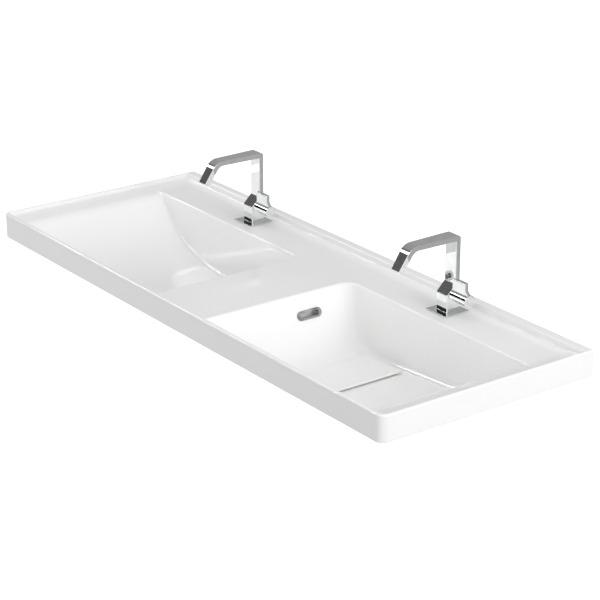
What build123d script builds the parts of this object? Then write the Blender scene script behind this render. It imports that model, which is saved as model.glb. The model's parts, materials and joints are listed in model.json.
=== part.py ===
from build123d import *
from math import cos, radians, sin, tan
import os

os.makedirs("parts", exist_ok=True)

# A double washbasin for the wall: one glazed ceramic tray with two bowls, and two single-lever taps.
# X runs along the width, Y points at the wall and Z up. The origin is the middle of the wall face,
# at the height of the wall bolts. All sizes are millimetres and degrees.

# The ceramic tray
basin_width = 1200.0
basin_depth = 452.0
apron_height = 48.5
rim_above_bolts = 35.0
front_corner_radius = 17.0
back_corner_radius = 4.0
rim_outer_round = 3.0
rim_inner_round = 2.0
apron_foot_round = 2.0
skirt_wall = 10.0
back_skirt_wall = 14.0
front_rim_width = 9.0
end_rim_width = 7.0
ledge_width = 20.0
deck_drop = 12.0
deck_thickness = 10.0
ledge_corner_radius = 4.0
end_shelf_run = 26.0
end_shelf_angle = 10.0
end_shelf_round = 4.0
rim_inner_corner_radius = 9.0
skirt_inner_corner_radius = 7.0
bolt_hole_radius = 7.0
bolt_pair_spacing = 280.0
bolt_pair_from_centre = 336.0

# The bowls, one on each side of the centre deck
centre_deck_width = 158.0
bowl_back_from_wall = 113.0
shell_wall = 10.0
floor_drop = 116.0
floor_angle = 4.0
centre_wall_angle = 20.0
centre_foot_round = 40.0
sweep_start_inset = 243.0
sweep_top_inset = 44.0
sweep_roll_round = 30.0
back_wall_draft = 4.0
front_wall_drop = 18.0
front_slope_angle = 42.0
back_crease_round = 8.0
front_crease_round = 12.0

# The drain of a bowl, under its cover
drain_from_bowl_edge = 135.0
cover_from_back_wall = 14.9
cover_from_front_slope = 28.8
cover_width = 102.0
cover_thickness = 4.0
cover_lift = 2.2
cover_corner_radius = 7.0
cover_edge_round = 1.4
cover_overhang = 5.0
recess_depth = 8.0
pad_radius = 4.0
pad_inset = 12.0
stem_radius = 5.0
stem_fit = 0.1
rest_gap = 0.2
flange_radius = 30.0
flange_thickness = 2.5
flange_seal_thickness = 1.5
flange_seal_inset = 1.0
flange_play = 1.5
waste_hole_radius = 23.0
waste_tail_radius = 20.95
waste_bore_radius = 17.0
waste_tail_drop = 36.0
boss_radius = 38.0
boss_drop = 38.0
strainer_radius = 19.4
strainer_fit = 0.1
strainer_thickness = 2.5
strainer_rim = 3.0
strainer_hub_height = 7.0
strainer_bar_count = 6
stem_length_in_hub = 5.0
strainer_hub_radius = 8.0
strainer_bar_width = 3.0
waste_window_width = 18.0
waste_tail_fit = 0.1
gasket_thickness = 4.0
gasket_radius = 32.0
waste_nut_height = 12.0
waste_nut_flats = 58.0

# The overflow in the centre wall of a bowl
overflow_from_wall = 214.0
overflow_drop = 37.0
overflow_ring_length = 54.0
overflow_ring_height = 18.0
overflow_ring_proud = 1.6
overflow_hole_length = 44.0
overflow_hole_height = 12.0
overflow_sleeve_wall = 1.4
overflow_sleeve_depth = 7.0
overflow_fit = 0.2
duct_gap = 11.0
duct_wall = 7.0
duct_bore_width = 42.0
duct_above_hole = 8.0
duct_under_recess = 8.0

# The taps
tap_spacing = 590.0
tap_from_wall = 62.5
tap_hole_radius = 17.5
plate_size = 54.0
plate_thickness = 1.5
plate_seal_thickness = 0.5
plate_seal_inset = 2.0
plate_hole_radius = 13.0
body_width = 30.0
body_depth = 28.0
body_front_height = 31.5
body_edge_round = 0.6
column_thickness = 9.6
arm_top_height = 138.5
arm_thickness = 9.6
arm_reach = 107.0
elbow_outer_round = 4.5
elbow_inner_round = 2.0
bend_outer_round = 13.0
bend_inner_round = 18.0
tip_angle = 56.0
tip_length = 48.6
tip_thickness = 10.5
tip_cut_angle = 17.0
bend_width = 25.0
tip_width = 22.0
spout_channel = 4.2
spout_channel_width = 14.0
spigot_length = 8.0
spigot_thickness = 7.0
spigot_width = 20.0
spigot_fit = 0.1
mouth_depth = 6.0
mouth_thickness = 7.0
mouth_width = 15.0
aerator_fit = 0.1
aerator_slot_width = 1.4
aerator_slot_length = 4.4
aerator_slot_spacing = 2.8
aerator_slot_count = 4
hub_height = 32.0
hub_radius = 11.0
hub_length = 43.0
hub_gap = 0.4
hub_groove_depth = 0.5
hub_groove_width = 0.8
hub_groove_from_end = 12.0
blade_inset = 1.0
blade_width = 34.0
blade_thickness = 7.2
blade_front = 4.0
blade_top = 63.5
blade_flare_height = 14.0
blade_edge_round = 0.8
cartridge_radius = 7.5
cartridge_length = 21.0
cartridge_fit = 0.05
cartridge_nut_depth = 3.0
cartridge_nut_bore = 4.6
spindle_radius = 3.0
spindle_fit = 0.1
spindle_reach = 24.0
spindle_depth = 14.0
handle_screw_radius = 1.6
handle_screw_length = 16.0
handle_screw_head_radius = 3.2
handle_screw_head_height = 3.0
handle_plug_radius = 6.0
handle_plug_depth = 3.0
handle_plug_fit = 0.1
inlet_radius = 4.0
inlet_depth = 12.0
inlet_spacing = 13.0
inlet_from_centre = 4.0
waterway_radius = 2.0
stud_radius = 3.0
stud_from_centre = 8.0
stud_in_body = 12.0
stud_drop = 48.0
washer_radius = 23.0
washer_mouth = 23.0
washer_mouth_from_stud = 5.5
rubber_washer_thickness = 3.0
steel_washer_thickness = 2.0
stud_nut_flats = 10.0
stud_nut_height = 5.0
stud_fit = 0.2

# Levels and places that follow from the sizes above. The cover's length and its drain's place follow
# the flat of the bowl's floor, between the back wall and the front slope, to the nearest millimetre.
rim_top = rim_above_bolts
apron_bottom = rim_top - apron_height
deck_top = rim_top - deck_drop
deck_bottom = deck_top - deck_thickness
end_inner_x = basin_width / 2 - end_rim_width
bowl_edge_x = centre_deck_width / 2
front_inner_y = front_rim_width - basin_depth
floor_at_drain = deck_top - floor_drop
floor_back_y = -bowl_back_from_wall - floor_drop * tan(radians(back_wall_draft))
slope_height = rim_top - front_wall_drop - floor_at_drain
floor_front_y = front_inner_y + slope_height / tan(radians(front_slope_angle))
cover_back_y = floor_back_y - cover_from_back_wall
cover_front_y = floor_front_y + cover_from_front_slope
cover_length = round(cover_back_y - cover_front_y)
drain_x = bowl_edge_x + drain_from_bowl_edge
drain_y = round((cover_back_y + cover_front_y) / 2)
flange_top = floor_at_drain - recess_depth
flange_bottom = flange_top - flange_thickness
flange_seat = flange_bottom - flange_seal_thickness
boss_bottom = floor_at_drain - boss_drop
recess_width = cover_width - 2 * cover_overhang
recess_length = cover_length - 2 * cover_overhang
duct_run_depth = recess_depth + duct_under_recess
spout_seat = body_front_height + body_depth - column_thickness
column_y = body_depth / 2 - column_thickness / 2
tap_height = deck_top + plate_seal_thickness + plate_thickness
tap_y = -tap_from_wall
cut_reach = 20.0
deep_reach = 200.0
pick_margin = 0.5

# The floor of the right bowl at its drain, and the face of its centre wall at the overflow
floor_plane = Plane(
    origin=(drain_x, drain_y, floor_at_drain),
    x_dir=(cos(radians(floor_angle)), 0, sin(radians(floor_angle))),
    z_dir=(-sin(radians(floor_angle)), 0, cos(radians(floor_angle))),
)
overflow_plane = Plane(
    origin=(
        bowl_edge_x + overflow_drop * tan(radians(centre_wall_angle)),
        -overflow_from_wall,
        deck_top - overflow_drop,
    ),
    x_dir=(0, 1, 0),
    z_dir=(cos(radians(centre_wall_angle)), 0, sin(radians(centre_wall_angle))),
)


def export_piece(piece, name):
    """Label a finished piece and write its file."""
    piece.label = name
    export_step(piece, f"parts/{name}.step")


# The outlines in plan

def tray_outline():
    """The basin's outline in plan."""
    with BuildSketch() as outline:
        with Locations((0, -basin_depth / 2)):
            Rectangle(basin_width, basin_depth)
        fillet(outline.vertices().group_by(Axis.Y)[0], front_corner_radius)
        fillet(outline.vertices().group_by(Axis.Y)[-1], back_corner_radius)
    return outline.sketch


def tray_inside():
    """The outline in plan of the space inside the rims."""
    with BuildSketch() as outline:
        with Locations((0, (front_inner_y - ledge_width) / 2)):
            Rectangle(2 * end_inner_x, -front_inner_y - ledge_width)
        fillet(outline.vertices().group_by(Axis.Y)[0], rim_inner_corner_radius)
        fillet(outline.vertices().group_by(Axis.Y)[-1], ledge_corner_radius)
    return outline.sketch


# The bowls

def shelf_height(x):
    """Height of the gentle slope inside an end rim, at a distance x from the middle."""
    return deck_top + (x - end_inner_x + end_shelf_run) * tan(radians(end_shelf_angle))


def floor_height(x):
    """Height of the bowl's floor plane, at a distance x from the middle."""
    return floor_at_drain + (x - drain_x) * tan(radians(floor_angle))


def floor_point(x, out=0.0):
    """A point on the floor in a section along the width, moved outwards when out isn't 0."""
    return x, floor_height(x) - out / cos(radians(floor_angle))


def wall_point(z, out=0.0):
    """A point on the centre wall in a section along the width, moved outwards when out isn't 0."""
    lean = (deck_top - z) * tan(radians(centre_wall_angle))
    return bowl_edge_x + lean - out / cos(radians(centre_wall_angle)), z


def foot_point(wall_out=0.0, floor_out=0.0):
    """Where the centre wall meets the floor, with each of them moved outwards by its own amount."""
    wall_slope = tan(radians(centre_wall_angle))
    floor_slope = tan(radians(floor_angle))
    level_x = wall_point(0.0, wall_out)[0]
    z = floor_point(level_x, floor_out)[1] / (1 + wall_slope * floor_slope)
    return wall_point(z, wall_out)


def bowl_form(grow=0.0):
    """The right bowl's hollow as a solid, or the block around it when it is grown by a wall."""
    top = rim_top + cut_reach
    below = floor_at_drain - cut_reach
    sweep_start_x = end_inner_x - sweep_start_inset
    sweep_top_x = end_inner_x - sweep_top_inset
    roll_point = (sweep_top_x, shelf_height(sweep_top_x))
    deck_end_x = end_inner_x - end_shelf_run
    with BuildSketch(Plane.XZ) as length_profile:
        with BuildLine():
            Polyline(
                (deck_end_x, top),
                wall_point(top),
                foot_point(),
                (sweep_start_x, floor_height(sweep_start_x)),
            )
            TangentArc(
                (sweep_start_x, floor_height(sweep_start_x)),
                roll_point,
                tangent=(cos(radians(floor_angle)), sin(radians(floor_angle))),
            )
            Polyline(roll_point, (deck_end_x, deck_top), (deck_end_x, top))
        make_face()
        fillet(length_profile.vertices().sort_by_distance((*foot_point(), 0))[0], centre_foot_round)
        fillet(length_profile.vertices().sort_by_distance((*roll_point, 0))[0], sweep_roll_round)
        if grow > 0:
            offset(amount=grow)
    draft = tan(radians(back_wall_draft))
    shoulder = rim_top - front_wall_drop
    slope_run = (shoulder - below) / tan(radians(front_slope_angle))
    with BuildSketch(Plane.YZ) as depth_profile:
        with BuildLine():
            Polyline(
                (draft * (top - deck_top) - bowl_back_from_wall, top),
                (draft * (below - deck_top) - bowl_back_from_wall, below),
                (front_inner_y + slope_run, below),
                (front_inner_y, shoulder),
                (front_inner_y, deck_top),
                (front_inner_y + rim_inner_round, top),
                close=True,
            )
        make_face()
        if grow > 0:
            offset(amount=grow)
    with BuildPart() as form:
        extrude(length_profile.sketch, amount=basin_depth)
        extrude(depth_profile.sketch, amount=basin_width, mode=Mode.INTERSECT)
    return form.part


def bowl_hollow():
    """The right bowl's hollow, with its creases rounded."""
    back_limit = -bowl_back_from_wall - cut_reach
    shoulder = rim_top - front_wall_drop
    with BuildPart() as hollow:
        add(bowl_form())
        back_creases = hollow.edges().filter_by(
            lambda edge: edge.bounding_box().min.Y > back_limit
            and edge.bounding_box().min.Z < deck_top - pick_margin
        )
        fillet(back_creases, back_crease_round)
        front_creases = hollow.edges().filter_by(
            lambda edge: edge.bounding_box().max.Y < drain_y - cover_length / 2
            and edge.bounding_box().min.Z < shoulder - pick_margin
            and edge.bounding_box().max.Z < shoulder + pick_margin
        )
        fillet(front_creases, front_crease_round)
    return hollow.part


def tray_hollow():
    """The shallow space above the deck, inside the rims, which rises gently to the end rims."""
    top = rim_top + cut_reach
    flat_x = end_inner_x - end_shelf_run
    with BuildSketch(Plane.XZ) as profile:
        with BuildLine():
            Polyline(
                (-end_inner_x, top),
                (-end_inner_x, shelf_height(end_inner_x)),
                (-flat_x, deck_top),
                (flat_x, deck_top),
                (end_inner_x, shelf_height(end_inner_x)),
                (end_inner_x, top),
                close=True,
            )
        make_face()
        for side in (-1, 1):
            corner = (side * end_inner_x, shelf_height(end_inner_x), 0)
            fillet(profile.vertices().sort_by_distance(corner)[0], end_shelf_round)
    with BuildPart() as hollow:
        extrude(profile.sketch, amount=basin_depth)
        with BuildSketch(Plane.XY.offset(deck_top - cut_reach)):
            add(tray_inside())
        extrude(amount=deep_reach, mode=Mode.INTERSECT)
    return hollow.part


def bowl_shell():
    """The ceramic around the right bowl: its walls, the drain's boss and the overflow duct's walls."""
    duct_top = deck_top - overflow_drop + overflow_hole_height / 2 + duct_above_hole
    duct_out = shell_wall + duct_gap + duct_wall
    run_out = duct_run_depth + duct_gap + duct_wall
    with BuildPart() as shell:
        add(bowl_form(shell_wall))
        with BuildSketch(floor_plane):
            Rectangle(recess_width + 2 * shell_wall, recess_length + 2 * shell_wall)
        extrude(amount=-recess_depth - shell_wall)
        with BuildSketch(Plane.XY.offset(boss_bottom)):
            with Locations((drain_x, drain_y)):
                Circle(boss_radius)
        extrude(amount=boss_drop)
        with BuildSketch(Plane.XZ.offset(overflow_from_wall - duct_bore_width / 2 - duct_wall)):
            with BuildLine():
                Polyline(
                    wall_point(duct_top + duct_wall),
                    foot_point(),
                    floor_point(drain_x),
                    floor_point(drain_x, run_out),
                    foot_point(duct_out, run_out),
                    wall_point(duct_top + duct_wall, duct_out),
                    close=True,
                )
            make_face()
        extrude(amount=duct_bore_width + 2 * duct_wall)
        with BuildSketch(Plane.XY.offset(deck_top)):
            add(tray_outline())
        extrude(amount=-deep_reach, mode=Mode.INTERSECT)
    return shell.part


def drain_hollow():
    """The right bowl's recess under the drain cover, its waste hole and its overflow duct."""
    duct_top = deck_top - overflow_drop + overflow_hole_height / 2 + duct_above_hole
    with BuildPart() as hollow:
        with BuildSketch(floor_plane.offset(-recess_depth)):
            RectangleRounded(recess_width, recess_length, cover_corner_radius)
        extrude(amount=recess_depth + cut_reach)
        with BuildSketch(Plane.XY.offset(flange_seat)):
            with Locations((drain_x, drain_y)):
                Circle(flange_radius + flange_play)
        extrude(amount=recess_depth)
        with BuildSketch(Plane.XY.offset(boss_bottom - cut_reach)):
            with Locations((drain_x, drain_y)):
                Circle(waste_hole_radius)
        extrude(amount=boss_drop + cut_reach)
        with BuildSketch(Plane.XZ.offset(overflow_from_wall - duct_bore_width / 2)):
            with BuildLine():
                Polyline(
                    wall_point(duct_top, shell_wall),
                    foot_point(shell_wall, duct_run_depth),
                    floor_point(drain_x, duct_run_depth),
                    floor_point(drain_x, duct_run_depth + duct_gap),
                    foot_point(shell_wall + duct_gap, duct_run_depth + duct_gap),
                    wall_point(duct_top, shell_wall + duct_gap),
                    close=True,
                )
            make_face()
        extrude(amount=duct_bore_width)
        with BuildSketch(overflow_plane.offset(cut_reach)):
            SlotOverall(overflow_hole_length, overflow_hole_height)
        extrude(amount=-cut_reach - shell_wall - duct_gap / 2)
    return hollow.part


# The ceramic tray

def basin():
    """The whole ceramic: rims, apron, deck and both bowls, with its holes for drains, taps and bolts."""
    with BuildPart() as body:
        with BuildSketch(Plane.XY.offset(apron_bottom)):
            add(tray_outline())
        extrude(amount=apron_height)
        fillet(body.faces().sort_by(Axis.Z)[-1].edges(), rim_outer_round)
        fillet(body.faces().sort_by(Axis.Z)[0].edges(), apron_foot_round)
        with BuildSketch(Plane.XY.offset(apron_bottom)) as underside:
            with Locations((0, (skirt_wall - basin_depth - back_skirt_wall) / 2)):
                Rectangle(basin_width - 2 * skirt_wall, basin_depth - skirt_wall - back_skirt_wall)
            fillet(underside.vertices(), skirt_inner_corner_radius)
        extrude(amount=deck_bottom - apron_bottom, mode=Mode.SUBTRACT)
        shell = bowl_shell()
        add(shell)
        add(mirror(shell, about=Plane.YZ, mode=Mode.PRIVATE))
        add(tray_hollow(), mode=Mode.SUBTRACT)
        inner_rim = body.edges().filter_by(
            lambda edge: abs(edge.center().Z - rim_top) < pick_margin
            and abs(edge.center().X) < end_inner_x + pick_margin
            and front_inner_y - pick_margin < edge.center().Y < pick_margin - ledge_width
        )
        fillet(inner_rim, rim_inner_round)
        for hollow in (bowl_hollow(), drain_hollow()):
            add(hollow, mode=Mode.SUBTRACT)
            add(mirror(hollow, about=Plane.YZ, mode=Mode.PRIVATE), mode=Mode.SUBTRACT)
        with BuildSketch(Plane.XY.offset(deck_top + cut_reach)):
            with Locations((-tap_spacing / 2, tap_y), (tap_spacing / 2, tap_y)):
                Circle(tap_hole_radius)
        extrude(amount=-deck_thickness - 2 * cut_reach, mode=Mode.SUBTRACT)
        with BuildSketch(Plane.XZ):
            for middle in (-bolt_pair_from_centre, bolt_pair_from_centre):
                with Locations((middle, 0)):
                    with GridLocations(bolt_pair_spacing, 1, 2, 1):
                        Circle(bolt_hole_radius)
        extrude(amount=back_skirt_wall + cut_reach, mode=Mode.SUBTRACT)
    return body.part


# The drain and overflow pieces of the right bowl

def drain_cover():
    """The ceramic plate over the drain, with the stem that drops into the strainer's hub."""
    with BuildPart() as piece:
        with BuildSketch(floor_plane.offset(cover_lift)):
            RectangleRounded(cover_width, cover_length, cover_corner_radius)
        extrude(amount=cover_thickness)
        top_face = piece.faces().sort_by(Axis(floor_plane.origin, floor_plane.z_dir))[-1]
        fillet(top_face.edges(), cover_edge_round)
        stem_bottom = flange_top - strainer_thickness - stem_length_in_hub
        with BuildSketch(Plane.XY.offset(stem_bottom)):
            with Locations((drain_x, drain_y)):
                Circle(stem_radius)
        extrude(amount=floor_at_drain + cover_lift + cover_thickness / 2 - stem_bottom)
    return piece.part


def cover_pads():
    """The four rubber feet glued under the cover, which stand in the recess."""
    with BuildPart() as piece:
        with BuildSketch(floor_plane.offset(rest_gap - recess_depth)):
            with GridLocations(cover_width - 2 * pad_inset, cover_length - 2 * pad_inset, 2, 2):
                Circle(pad_radius)
        extrude(amount=recess_depth - rest_gap + cover_lift)
    return piece.part


def strainer():
    """The grating in the waste's mouth: a rim, bars and a hub for the cover's stem."""
    with BuildPart() as piece:
        with BuildSketch(Plane((drain_x, drain_y, flange_top - strainer_thickness))):
            Circle(strainer_radius)
            Circle(strainer_radius - strainer_rim, mode=Mode.SUBTRACT)
            with PolarLocations(0, strainer_bar_count):
                with Locations((strainer_radius / 2, 0)):
                    Rectangle(strainer_radius - strainer_rim, strainer_bar_width)
        extrude(amount=strainer_thickness)
        with BuildSketch(Plane((drain_x, drain_y, flange_top - strainer_hub_height))):
            Circle(strainer_hub_radius)
        extrude(amount=strainer_hub_height)
        with BuildSketch(Plane((drain_x, drain_y, flange_top))):
            Circle(stem_radius + stem_fit)
        extrude(amount=-strainer_hub_height, mode=Mode.SUBTRACT)
    return piece.part


def waste_body():
    """The waste: a flange in the recess and a threaded tail, with windows for the overflow."""
    tail_bottom = boss_bottom - waste_tail_drop
    window_top = duct_level() + duct_gap / 2
    with BuildPart() as piece:
        with BuildSketch(Plane((drain_x, drain_y, flange_bottom))):
            Circle(flange_radius)
        extrude(amount=flange_thickness)
        with BuildSketch(Plane((drain_x, drain_y, tail_bottom))):
            Circle(waste_tail_radius)
        extrude(amount=flange_bottom - tail_bottom)
        with BuildSketch(Plane((drain_x, drain_y, tail_bottom))):
            Circle(waste_bore_radius)
        extrude(amount=flange_top - tail_bottom, mode=Mode.SUBTRACT)
        with BuildSketch(Plane((drain_x, drain_y, flange_top))):
            Circle(strainer_radius + strainer_fit)
        extrude(amount=-strainer_thickness, mode=Mode.SUBTRACT)
        with BuildSketch(Plane((drain_x, drain_y, window_top))):
            Rectangle(2 * waste_tail_radius + cut_reach, waste_window_width)
        extrude(amount=-duct_gap, mode=Mode.SUBTRACT)
    return piece.part


def duct_level():
    """The height of the middle of the overflow duct where it enters the waste hole."""
    return floor_point(drain_x - waste_hole_radius, duct_run_depth + duct_gap / 2)[1]


def ring_on_tail(bottom, thickness, outer_radius):
    """A flat ring round the waste's tail."""
    with BuildPart() as piece:
        with BuildSketch(Plane((drain_x, drain_y, bottom))):
            Circle(outer_radius)
            Circle(waste_tail_radius + waste_tail_fit, mode=Mode.SUBTRACT)
        extrude(amount=thickness)
    return piece.part


def waste_nut():
    """The hexagonal nut that pulls the waste down onto the ceramic."""
    with BuildPart() as piece:
        with BuildSketch(Plane((drain_x, drain_y, boss_bottom - gasket_thickness))):
            RegularPolygon(waste_nut_flats / 2, 6, major_radius=False)
            Circle(waste_tail_radius + waste_tail_fit, mode=Mode.SUBTRACT)
        extrude(amount=-waste_nut_height)
    return piece.part


def overflow_ring():
    """The chrome ring on the overflow, with a sleeve that fits in the ceramic's slot."""
    sleeve_length = overflow_hole_length - 2 * overflow_fit
    sleeve_height = overflow_hole_height - 2 * overflow_fit
    with BuildPart() as piece:
        with BuildSketch(overflow_plane):
            SlotOverall(overflow_ring_length, overflow_ring_height)
        extrude(amount=overflow_ring_proud)
        with BuildSketch(overflow_plane):
            SlotOverall(sleeve_length, sleeve_height)
        extrude(amount=-overflow_sleeve_depth)
        with BuildSketch(overflow_plane.offset(overflow_ring_proud)):
            SlotOverall(sleeve_length - 2 * overflow_sleeve_wall, sleeve_height - 2 * overflow_sleeve_wall)
        extrude(amount=-overflow_ring_proud - overflow_sleeve_depth, mode=Mode.SUBTRACT)
    return piece.part


# The tap, in its own frame: its origin is the middle of the base plate's top

def tap_plate():
    """The square base plate."""
    with BuildPart() as piece:
        with BuildSketch():
            Rectangle(plate_size, plate_size)
            Circle(plate_hole_radius, mode=Mode.SUBTRACT)
        extrude(amount=-plate_thickness)
    return piece.part


def tap_seal():
    """The rubber sheet between the base plate and the deck."""
    with BuildPart() as piece:
        with BuildSketch(Plane.XY.offset(-plate_thickness)):
            Rectangle(plate_size - 2 * plate_seal_inset, plate_size - 2 * plate_seal_inset)
            Circle(plate_hole_radius, mode=Mode.SUBTRACT)
        extrude(amount=-plate_seal_thickness)
    return piece.part


def tap_body():
    """The body: a block with a slanted front top, bored for the cartridge, the water and the stud."""
    half_depth = body_depth / 2
    front_of_column = half_depth - column_thickness
    inlets = [(side * inlet_spacing / 2, -inlet_from_centre) for side in (-1, 1)]
    with BuildPart() as piece:
        with BuildSketch(Plane.YZ.offset(-body_width / 2)):
            with BuildLine():
                Polyline(
                    (-half_depth, 0),
                    (half_depth, 0),
                    (half_depth, spout_seat),
                    (front_of_column, spout_seat),
                    (-half_depth, body_front_height),
                    close=True,
                )
            make_face()
        extrude(amount=body_width)
        fillet(piece.edges().filter_by(Axis.Z).group_by(Axis.Y)[0], body_edge_round)
        with BuildSketch(Plane.YZ.offset(body_width / 2)):
            with Locations((0, hub_height)):
                Circle(cartridge_radius)
        extrude(amount=-cartridge_length - cartridge_nut_depth, mode=Mode.SUBTRACT)
        with BuildSketch():
            with Locations(*inlets):
                Circle(inlet_radius)
        extrude(amount=inlet_depth, mode=Mode.SUBTRACT)
        with BuildSketch():
            with Locations(*inlets):
                Circle(waterway_radius)
        extrude(amount=hub_height, mode=Mode.SUBTRACT)
        with BuildSketch():
            with Locations((0, stud_from_centre)):
                Circle(stud_radius)
        extrude(amount=stud_in_body, mode=Mode.SUBTRACT)
        with BuildSketch(Plane.XY.offset(spout_seat)):
            with Locations((0, column_y)):
                Rectangle(spigot_width + 2 * spigot_fit, spigot_thickness + 2 * spigot_fit)
        extrude(amount=-spigot_length, mode=Mode.SUBTRACT)
        with BuildSketch(Plane.XY.offset(spout_seat)):
            with Locations((0, column_y)):
                Rectangle(2 * waterway_radius, 2 * waterway_radius)
        extrude(amount=hub_height - spout_seat, mode=Mode.SUBTRACT)
    return piece.part


def tip_direction():
    """The direction of the spout's tip in the side view, from the bend down to the mouth."""
    return -cos(radians(tip_angle)), -sin(radians(tip_angle))


def spout():
    """The flat spout: its column, arm and slanted tip are one bar, hollow for the water."""
    back = body_depth / 2
    front = back - column_thickness
    bend_y = back - arm_reach
    tip_y, tip_z = tip_direction()
    inside_y, inside_z = -tip_z * tip_thickness, tip_y * tip_thickness
    end_y, end_z = bend_y + tip_y * tip_length, arm_top_height + tip_z * tip_length
    cut = tip_thickness * tan(radians(90 - tip_angle - tip_cut_angle))
    inner_y, inner_z = end_y + inside_y - tip_y * cut, end_z + inside_z - tip_z * cut
    under = arm_top_height - arm_thickness
    rise = (under - inner_z) / tan(radians(tip_angle))
    outline = (
        (back, spout_seat),
        (back, arm_top_height),
        (bend_y, arm_top_height),
        (end_y, end_z),
        (inner_y, inner_z),
        (inner_y + rise, under),
        (front, under),
        (front, spout_seat),
    )
    rounds = (
        (1, elbow_outer_round),
        (2, bend_outer_round),
        (5, bend_inner_round),
        (6, elbow_inner_round),
    )
    mouth_y, mouth_z = (end_y + inner_y) / 2, (end_z + inner_z) / 2
    centre_z = arm_top_height - arm_thickness / 2
    bend_run = (centre_z - mouth_z) / tan(radians(tip_angle))
    with BuildSketch(Plane.YZ) as side:
        with BuildLine():
            Polyline(*outline, close=True)
        make_face()
        for index, radius in rounds:
            fillet(side.vertices().sort_by_distance((*outline[index], 0))[0], radius)
    with BuildSketch(Plane.XY.offset(spout_seat)) as plan:
        with BuildLine():
            Polyline(
                (-body_width / 2, back),
                (-body_width / 2, front),
                (-bend_width / 2, bend_y),
                (-tip_width / 2, end_y),
                (tip_width / 2, end_y),
                (bend_width / 2, bend_y),
                (body_width / 2, front),
                (body_width / 2, back),
                close=True,
            )
        make_face()
    with BuildPart() as piece:
        extrude(side.sketch, amount=body_width / 2, both=True)
        extrude(plan.sketch, amount=arm_top_height, mode=Mode.INTERSECT)
        with BuildSketch(Plane.XY.offset(spout_seat)):
            with Locations((0, column_y)):
                Rectangle(spigot_width, spigot_thickness)
        extrude(amount=-spigot_length)
        with BuildSketch(Plane.YZ):
            with BuildLine():
                FilletPolyline(
                    (column_y, spout_seat - spigot_length - spout_channel),
                    (column_y, centre_z),
                    (mouth_y + bend_run, centre_z),
                    (mouth_y, mouth_z),
                    radius=spout_channel,
                )
            trace(line_width=spout_channel)
        extrude(amount=spout_channel_width / 2, both=True, mode=Mode.SUBTRACT)
        with BuildSketch(mouth_plane().offset(-mouth_depth)):
            Rectangle(mouth_width, mouth_thickness)
        extrude(amount=mouth_depth + tip_thickness, mode=Mode.SUBTRACT)
    return piece.part


def mouth_plane():
    """The plane across the spout's tip at its mouth, which looks down along the tip."""
    tip_y, tip_z = tip_direction()
    start_y = body_depth / 2 - arm_reach - tip_z * tip_thickness / 2
    start_z = arm_top_height + tip_y * tip_thickness / 2
    cut = tip_thickness / 2 * tan(radians(90 - tip_angle - tip_cut_angle))
    reach = tip_length - cut
    return Plane(
        origin=(0, start_y + tip_y * reach, start_z + tip_z * reach),
        x_dir=(1, 0, 0),
        z_dir=(0, tip_y, tip_z),
    )


def aerator():
    """The slotted insert in the spout's mouth."""
    with BuildPart() as piece:
        with BuildSketch(mouth_plane().offset(-mouth_depth)):
            Rectangle(mouth_width - 2 * aerator_fit, mouth_thickness - 2 * aerator_fit)
            with GridLocations(aerator_slot_spacing, 1, aerator_slot_count, 1):
                Rectangle(aerator_slot_width, aerator_slot_length, mode=Mode.SUBTRACT)
        extrude(amount=mouth_depth)
    return piece.part


def hub_disc(start, length, radius):
    """A round bar on the hub's axis, from a distance out of the body's middle."""
    with BuildPart() as piece:
        with BuildSketch(Plane.YZ.offset(start)):
            with Locations((0, hub_height)):
                Circle(radius)
        extrude(amount=length)
    return piece.part


def cartridge():
    """The ceramic cartridge in the body, with a bore for its spindle and ports for the water."""
    start = body_width / 2 - cartridge_nut_depth - cartridge_length
    bore_start = body_width / 2 - spindle_depth - rest_gap
    with BuildPart() as piece:
        add(hub_disc(start, cartridge_length, cartridge_radius - cartridge_fit))
        bore = hub_disc(bore_start, spindle_depth + rest_gap, spindle_radius + spindle_fit)
        add(bore, mode=Mode.SUBTRACT)
        with BuildSketch(Plane.XY.offset(hub_height - cartridge_radius)):
            with Locations((-inlet_spacing / 2, -inlet_from_centre)):
                Rectangle(2 * waterway_radius, 2 * waterway_radius)
        extrude(amount=2 * cartridge_radius, mode=Mode.SUBTRACT)
    return piece.part


def cartridge_nut():
    """The ring that screws in behind the cartridge and leaves its spindle free."""
    start = body_width / 2 - cartridge_nut_depth
    with BuildPart() as piece:
        add(hub_disc(start, cartridge_nut_depth, cartridge_radius - cartridge_fit))
        add(hub_disc(start, cartridge_nut_depth, cartridge_nut_bore), mode=Mode.SUBTRACT)
    return piece.part


def spindle():
    """The cartridge's spindle, which turns with the handle and takes its screw."""
    start = body_width / 2 - spindle_depth
    end = body_width / 2 + hub_gap + spindle_reach
    with BuildPart() as piece:
        add(hub_disc(start, end - start, spindle_radius))
        thread = hub_disc(end - handle_screw_length, handle_screw_length, handle_screw_radius)
        add(thread, mode=Mode.SUBTRACT)
    return piece.part


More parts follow.
